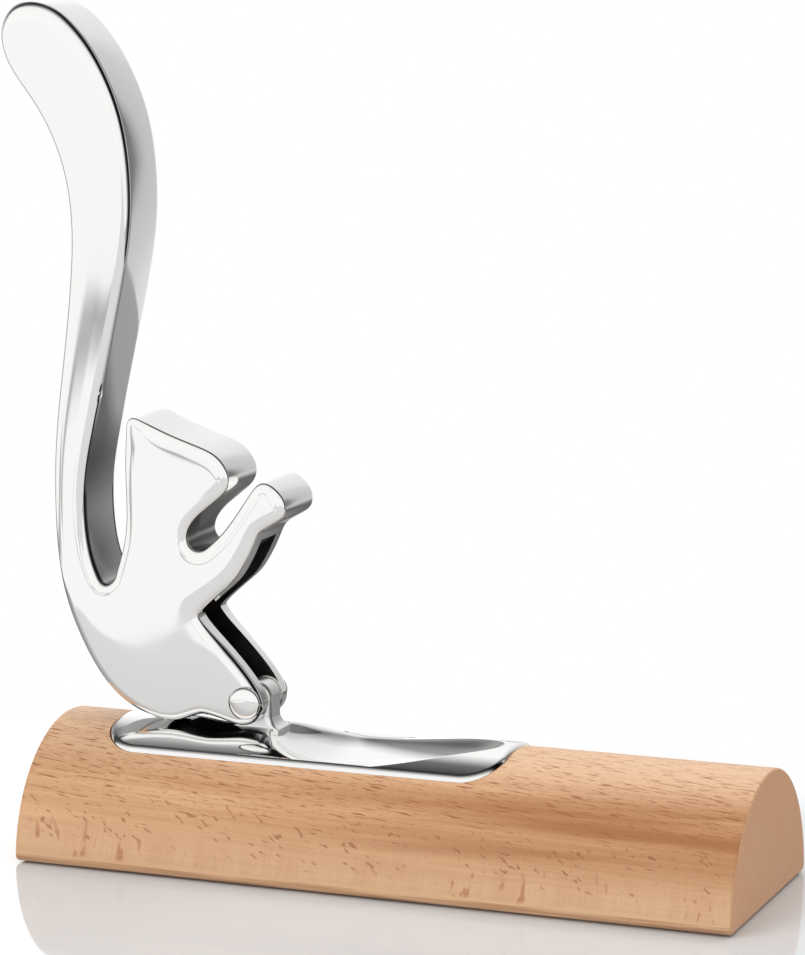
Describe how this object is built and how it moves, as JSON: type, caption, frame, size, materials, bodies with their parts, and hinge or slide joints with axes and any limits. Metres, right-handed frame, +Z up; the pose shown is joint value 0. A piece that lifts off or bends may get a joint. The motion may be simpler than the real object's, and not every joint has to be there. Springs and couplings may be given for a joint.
{
  "type": "lever nutcracker press",
  "caption": "Tabletop nutcracker: a chromed squirrel lever hinged on a chromed tray with a nut bowl, let into a half-round beech log.",
  "frame": {"origin": "middle of the bounding box, on the surface that the press stands on", "axes": "+X runs along the log from the lever's tail towards the nut bowl, -Y is the front, +Z is up"},
  "size_m": [0.2348, 0.0764, 0.2523],
  "materials": {
    "beech_wood": "oiled beech, satin",
    "chrome_tray": "polished chrome plate",
    "chrome_lever": "polished chrome plate",
    "chrome_pin": "polished chrome plate",
    "bush_bronze": "plain bearing bronze",
    "washer_nylon": "natural nylon",
    "screw_steel": "zinc-plated steel",
    "pad_rubber": "soft black rubber"
  },
  "bodies": {
    "base": {"log_base": "beech_wood", "tray": "chrome_tray", "lug_bush": "bush_bronze", "thrust_washer_front": "washer_nylon", "thrust_washer_rear": "washer_nylon", "tray_screw_left": "screw_steel", "tray_screw_washer_left": "screw_steel", "tray_screw_hinge": "screw_steel", "tray_screw_washer_hinge": "screw_steel", "tray_screw_right": "screw_steel", "tray_screw_washer_right": "screw_steel", "foot_pad_front_left": "pad_rubber", "foot_pad_front_right": "pad_rubber", "foot_pad_rear_left": "pad_rubber", "foot_pad_rear_right": "pad_rubber"},
    "lever": {"squirrel_lever": "chrome_lever", "hinge_pin": "chrome_pin", "hinge_cap": "chrome_pin"}
  },
  "joints": [
    {"name": "lever_hinge", "type": "hinge", "parent": "base", "child": "lever", "pos_m": [-0.03985, 0, 0.04785], "axis": [0, 1, 0], "range_deg": [0, 86]}
  ]
}
